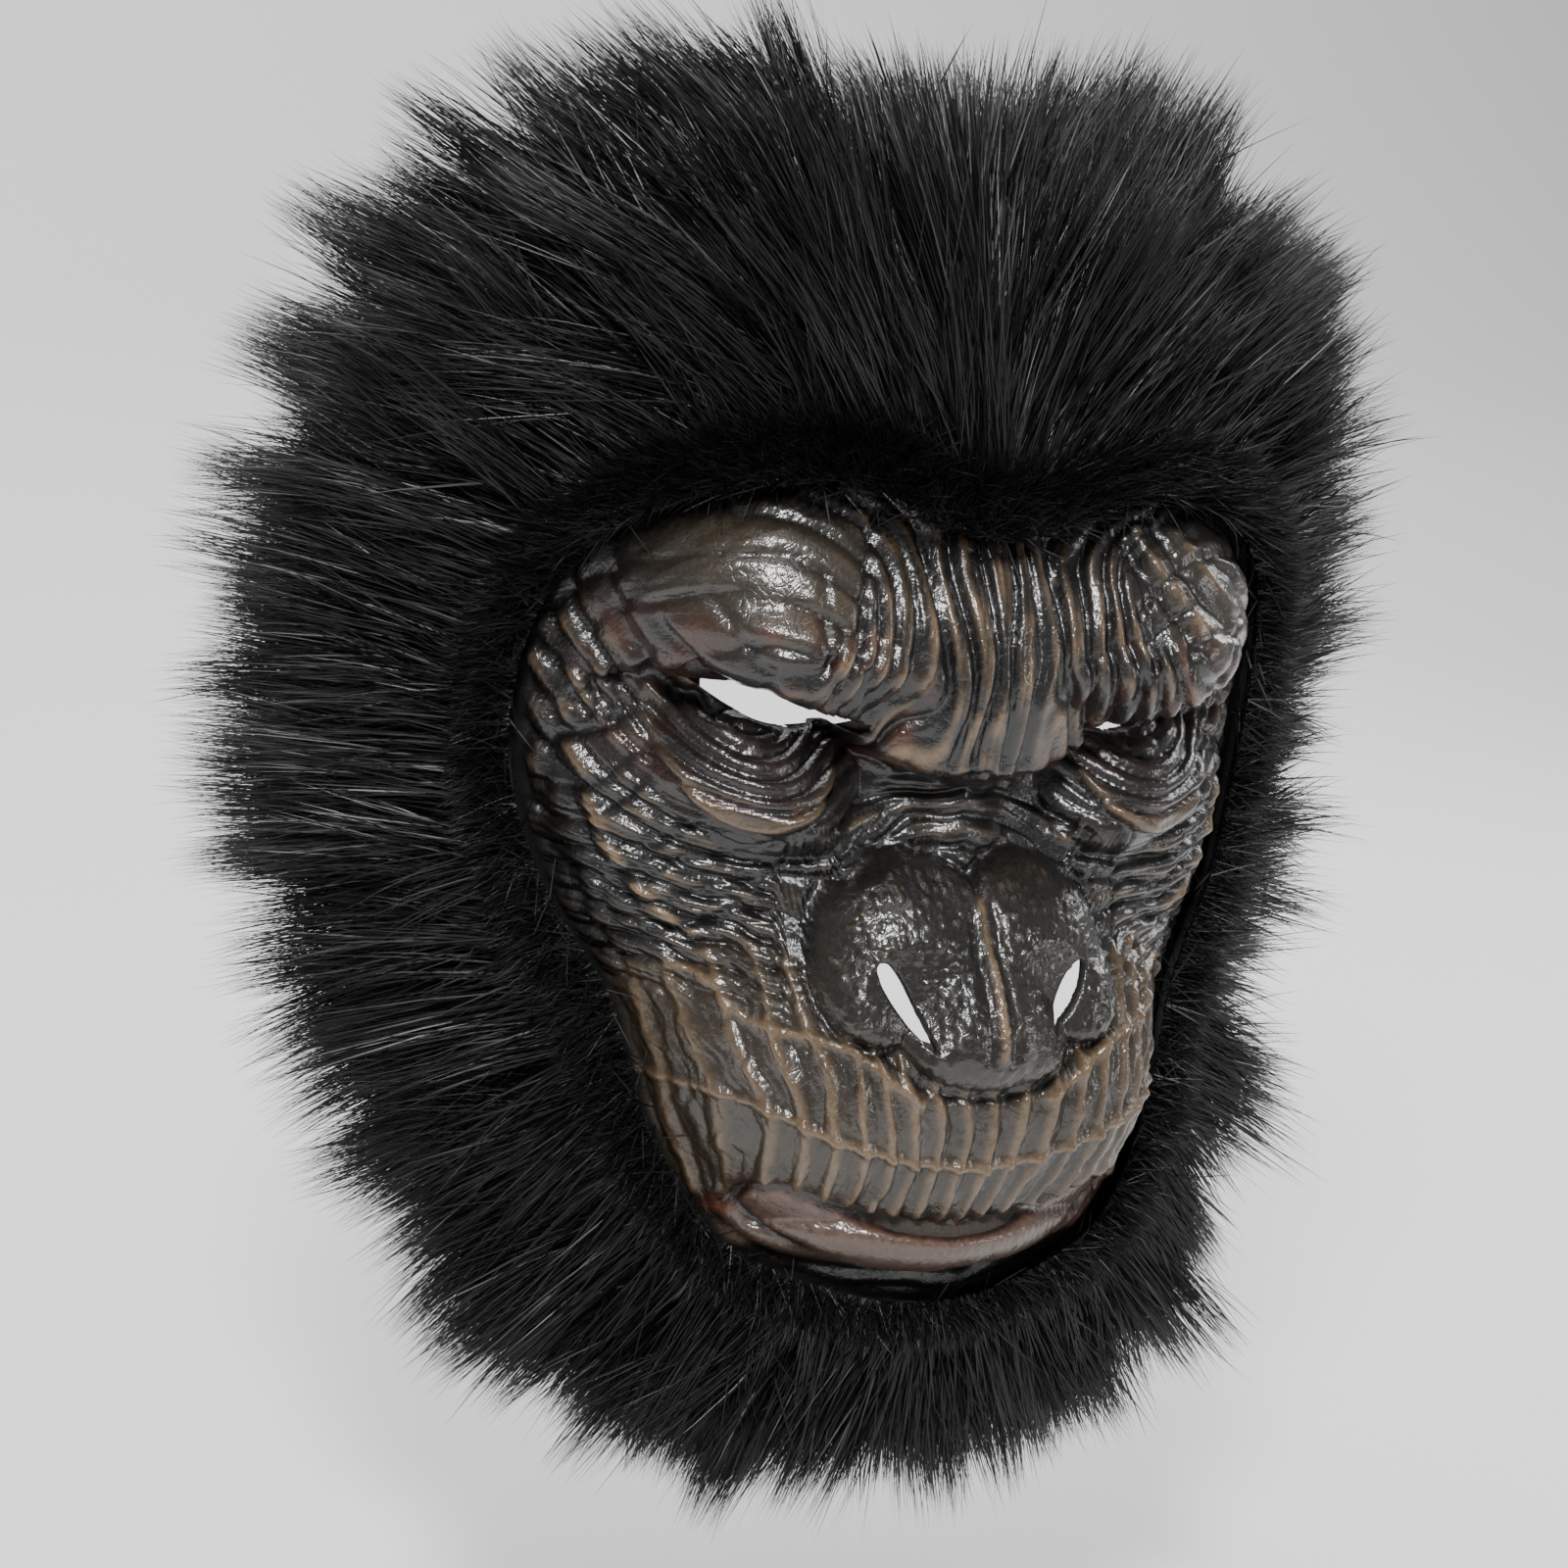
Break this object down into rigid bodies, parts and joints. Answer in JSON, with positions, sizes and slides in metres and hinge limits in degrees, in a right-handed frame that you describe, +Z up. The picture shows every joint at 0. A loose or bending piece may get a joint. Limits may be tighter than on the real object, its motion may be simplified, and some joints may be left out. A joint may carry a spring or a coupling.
{
  "type": "gorilla mask",
  "caption": "Moulded latex gorilla face sewn into a deep ruff of long-pile fur cloth, with an elastic strap behind the head.",
  "frame": {"origin": "the forehead seat: the inner side of the latex at the top middle of its edge", "axes": "-Y the way the face looks, +X the mask's own left, +Z up"},
  "size_m": [0.3088, 0.2305, 0.3479],
  "materials": {
    "painted_latex": "satin lacquer over drybrushed paint",
    "knitted_backing": "matte knit",
    "long_pile": "glossy long pile",
    "black_elastic": "matte ribbed weave"
  },
  "bodies": {
    "root": {"face": "painted_latex", "backing_right": "knitted_backing", "backing_left": "knitted_backing", "fur_right": "long_pile", "fur_left": "long_pile", "head_strap": "black_elastic"}
  },
  "joints": []
}
